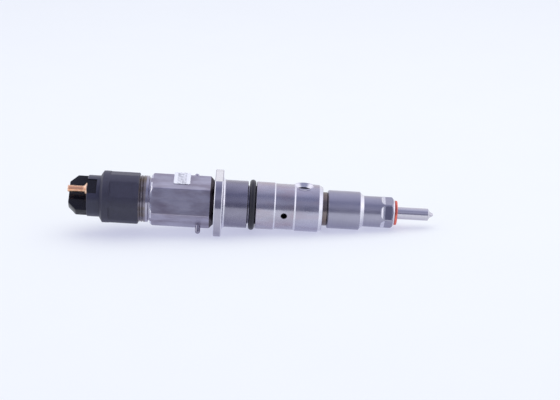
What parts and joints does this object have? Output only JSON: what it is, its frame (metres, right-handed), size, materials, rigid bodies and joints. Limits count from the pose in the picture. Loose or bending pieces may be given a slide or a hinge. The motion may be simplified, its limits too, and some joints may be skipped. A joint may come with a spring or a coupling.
{
  "type": "fuel injector",
  "caption": "Long round solenoid diesel injector: stepped steel body with a flatted collar and hexagon, black solenoid nut, terminal studs, O-ring, nozzle nut, copper washer and spray nozzle.",
  "frame": {"origin": "on the long axis, at the nozzle-side face of the copper combustion washer, which seats on the cylinder head", "axes": "+X along the long axis towards the spray tip, +Z out of the high-pressure inlet, the terminals are at -X"},
  "size_m": [0.2086, 0.0396, 0.0334],
  "materials": {
    "body_steel": "turned and milled hardened steel, phosphated violet-grey, bright on the chamfers",
    "nut_steel": "satin turned steel",
    "nozzle_steel": "ground bright steel",
    "ground_steel": "ground and lapped steel",
    "spring_steel": "oil-tempered spring wire",
    "shim_steel": "ground shim stock",
    "magnet_iron": "sintered soft-magnetic iron",
    "housing_steel": "turned steel",
    "washer_copper": "annealed copper",
    "winding_copper": "enamelled copper wire",
    "terminal_copper": "copper-coloured plated brass thread",
    "nut_black": "matte black coated steel",
    "cap_plastic": "glass-filled black plastic, moulded",
    "bobbin_plastic": "moulded heat-resistant plastic",
    "seal_rubber": "black fluoro rubber, smooth",
    "seal_ptfe": "off-white seal plastic",
    "pin_steel": "blackened hardened pin, worn bright along one side",
    "tag": null
  },
  "bodies": {
    "injector": {"injector_body": "body_steel", "nozzle_retaining_nut": "nut_steel", "combustion_washer": "washer_copper", "nozzle_body": "nozzle_steel", "nozzle_dowels": "ground_steel", "nozzle_spring": "spring_steel", "opening_pressure_shim": "shim_steel", "valve_piece": "ground_steel", "valve_piece_seal": "seal_ptfe", "stroke_shim": "shim_steel", "armature_guide": "ground_steel", "valve_clamp_screw": "housing_steel", "armature_spring": "spring_steel", "air_gap_shim": "shim_steel", "magnet_core": "magnet_iron", "coil_bobbin": "bobbin_plastic", "coil_winding": "winding_copper", "coil_leads": "winding_copper", "valve_spring": "spring_steel", "valve_spring_shim": "shim_steel", "magnet_housing": "housing_steel", "magnet_o_ring": "seal_rubber", "solenoid_nut": "nut_black", "connector_cap": "cap_plastic", "terminal_studs": "terminal_copper", "barrel_o_ring": "seal_rubber", "locating_pin": "pin_steel", "rear_pin": "pin_steel", "id_tag": "tag"},
    "plunger": {"command_plunger": "ground_steel"},
    "thrust_pin": {"thrust_pin": "ground_steel"},
    "needle": {"nozzle_needle": "ground_steel"},
    "armature_pin": {"armature_pin": "ground_steel", "crescent_washer": "shim_steel"},
    "armature_plate": {"armature_plate": "magnet_iron"},
    "valve": {"valve_ball": "ground_steel", "ball_cup": "ground_steel"}
  },
  "joints": [
    {"name": "plunger_lift", "type": "slide", "parent": "injector", "child": "plunger", "axis": [-1, 0, 0], "range_m": [0, 0.00025]},
    {"name": "thrust_pin_lift", "type": "slide", "parent": "injector", "child": "thrust_pin", "axis": [-1, 0, 0], "range_m": [0, 0.00025], "deforming": ["nozzle_spring"]},
    {"name": "needle_lift", "type": "slide", "parent": "injector", "child": "needle", "axis": [-1, 0, 0], "range_m": [0, 0.00025]},
    {"name": "armature_lift", "type": "slide", "parent": "injector", "child": "armature_pin", "axis": [-1, 0, 0], "range_m": [0, 0.00005], "deforming": ["valve_spring"]},
    {"name": "valve_lift", "type": "slide", "parent": "injector", "child": "valve", "axis": [-1, 0, 0], "range_m": [0, 0.00005]},
    {"name": "plate_overtravel", "type": "slide", "parent": "armature_pin", "child": "armature_plate", "axis": [1, 0, 0], "range_m": [0, 0.00004], "deforming": ["armature_spring"]}
  ],
  "couplings": [
    {"joint": "thrust_pin_lift", "follows": "plunger_lift", "ratio": 1},
    {"joint": "needle_lift", "follows": "plunger_lift", "ratio": 1},
    {"joint": "valve_lift", "follows": "armature_lift", "ratio": 1}
  ]
}
